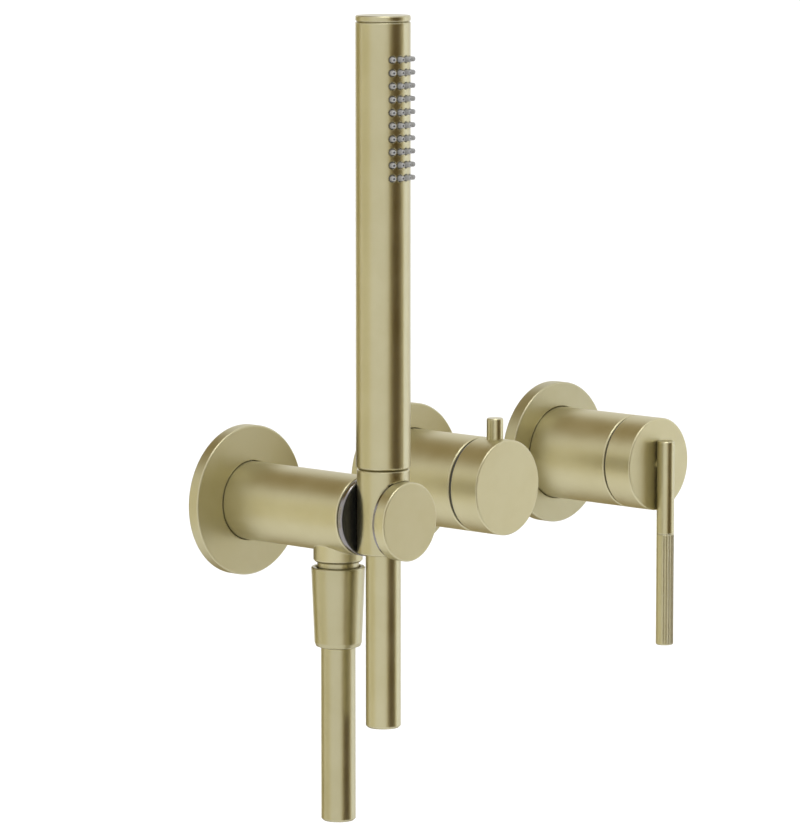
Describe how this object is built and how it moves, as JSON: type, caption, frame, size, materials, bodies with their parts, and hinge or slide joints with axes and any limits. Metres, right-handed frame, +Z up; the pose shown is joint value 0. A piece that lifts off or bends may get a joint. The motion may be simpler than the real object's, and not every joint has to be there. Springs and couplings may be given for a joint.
{
  "type": "two-outlet shower mixer",
  "caption": "Wall-mounted shower mixer of plain round units: water outlet with swivelling stick handset holder, diverter knob with index pin, and mixing control with a hanging rod lever.",
  "frame": {"origin": "the diverter's axis in the plane of the finished wall, at the root of its valve barrel's wall thread", "axes": "+X along the wall to the right, from the wall outlet to the mixing control; +Y into the wall; +Z up"},
  "size_m": [0.269, 0.1126, 0.3447],
  "materials": {
    "brushed_brass": "brushed champagne brass, satin",
    "turned_brass": "plain turned brass",
    "steel": "plain stainless steel",
    "black_plastic": "glossy black",
    "grey_plastic": "dark grey, matt",
    "white_plastic": "off-white, matt",
    "silicone": "soft grey silicone",
    "rubber": "black seal rubber"
  },
  "bodies": {
    "wall_units": {"outlet_rosette": "brushed_brass", "outlet_rosette_seal": "rubber", "outlet_wall_adapter": "turned_brass", "outlet_adapter_rings": "rubber", "outlet_body": "brushed_brass", "outlet_grub_screw": "steel", "outlet_spigot": "brushed_brass", "outlet_check_valve": "white_plastic", "outlet_hose_washer": "rubber", "cone_nut": "brushed_brass", "holder_wave_washer": "steel", "holder_pivot_screw": "steel", "diverter_rosette": "brushed_brass", "diverter_rosette_seal": "rubber", "diverter_barrel": "turned_brass", "diverter_sleeve_rings": "rubber", "diverter_cartridge": "white_plastic", "diverter_ring_nut": "turned_brass", "diverter_sleeve": "brushed_brass", "diverter_glide_ring": "grey_plastic", "mixer_rosette": "brushed_brass", "mixer_rosette_seal": "rubber", "mixer_barrel": "turned_brass", "mixer_sleeve_rings": "rubber", "mixer_cartridge": "white_plastic", "mixer_ring_nut": "turned_brass", "mixer_sleeve": "brushed_brass", "mixer_glide_ring": "grey_plastic"},
    "outlet_hose": {"outlet_hose_ferrule": "turned_brass", "outlet_hose_sleeve": "brushed_brass"},
    "holder": {"friction_disc": "black_plastic", "holder_sleeve": "brushed_brass", "holder_bush": "black_plastic", "holder_front_washer": "grey_plastic", "holder_front_cap": "brushed_brass"},
    "handset_hose": {"handset_hose_sleeve": "brushed_brass", "handset_swivel_clip": "steel", "handset_hose_ferrule": "turned_brass"},
    "handset": {"handset_tube": "brushed_brass", "handset_nozzle_strip": "silicone", "handset_end_cap": "brushed_brass", "handset_connector": "turned_brass", "handset_swivel_rings": "rubber", "handset_filter": "white_plastic", "handset_waterway": "white_plastic", "handset_waterway_rings": "rubber"},
    "diverter": {"diverter_spindle": "turned_brass", "diverter_knob": "brushed_brass", "diverter_knob_screw": "steel", "diverter_index_pin": "brushed_brass"},
    "mixer": {"mixer_spindle": "turned_brass", "mixer_cap": "brushed_brass", "mixer_knob_screw": "steel", "lever_rod": "brushed_brass", "lever_stud": "steel", "lever_grip": "brushed_brass"}
  },
  "joints": [
    {"name": "outlet_hose_turn", "type": "hinge", "parent": "wall_units", "child": "outlet_hose", "pos_m": [-0.102, -0.0571, -0.05], "axis": [0, 0, 1], "continuous": true},
    {"name": "holder_swivel", "type": "hinge", "parent": "wall_units", "child": "holder", "pos_m": [-0.102, -0.0832, 0], "axis": [0, -1, 0], "range_deg": [-45, 45]},
    {"name": "handset_lift", "type": "slide", "parent": "holder", "child": "handset_hose", "axis": [0, 0, 1], "range_m": [0, 0.1]},
    {"name": "handset_turn", "type": "hinge", "parent": "handset_hose", "child": "handset", "pos_m": [-0.102, -0.0832, 0.02], "axis": [0, 0, 1], "continuous": true},
    {"name": "diverter_turn", "type": "hinge", "parent": "wall_units", "child": "diverter", "pos_m": [0, -0.055, 0], "axis": [0, -1, 0], "range_deg": [-90, 90]},
    {"name": "lever_turn", "type": "hinge", "parent": "wall_units", "child": "mixer", "pos_m": [0.102, -0.058, 0], "axis": [0, -1, 0], "range_deg": [0, 120]}
  ]
}
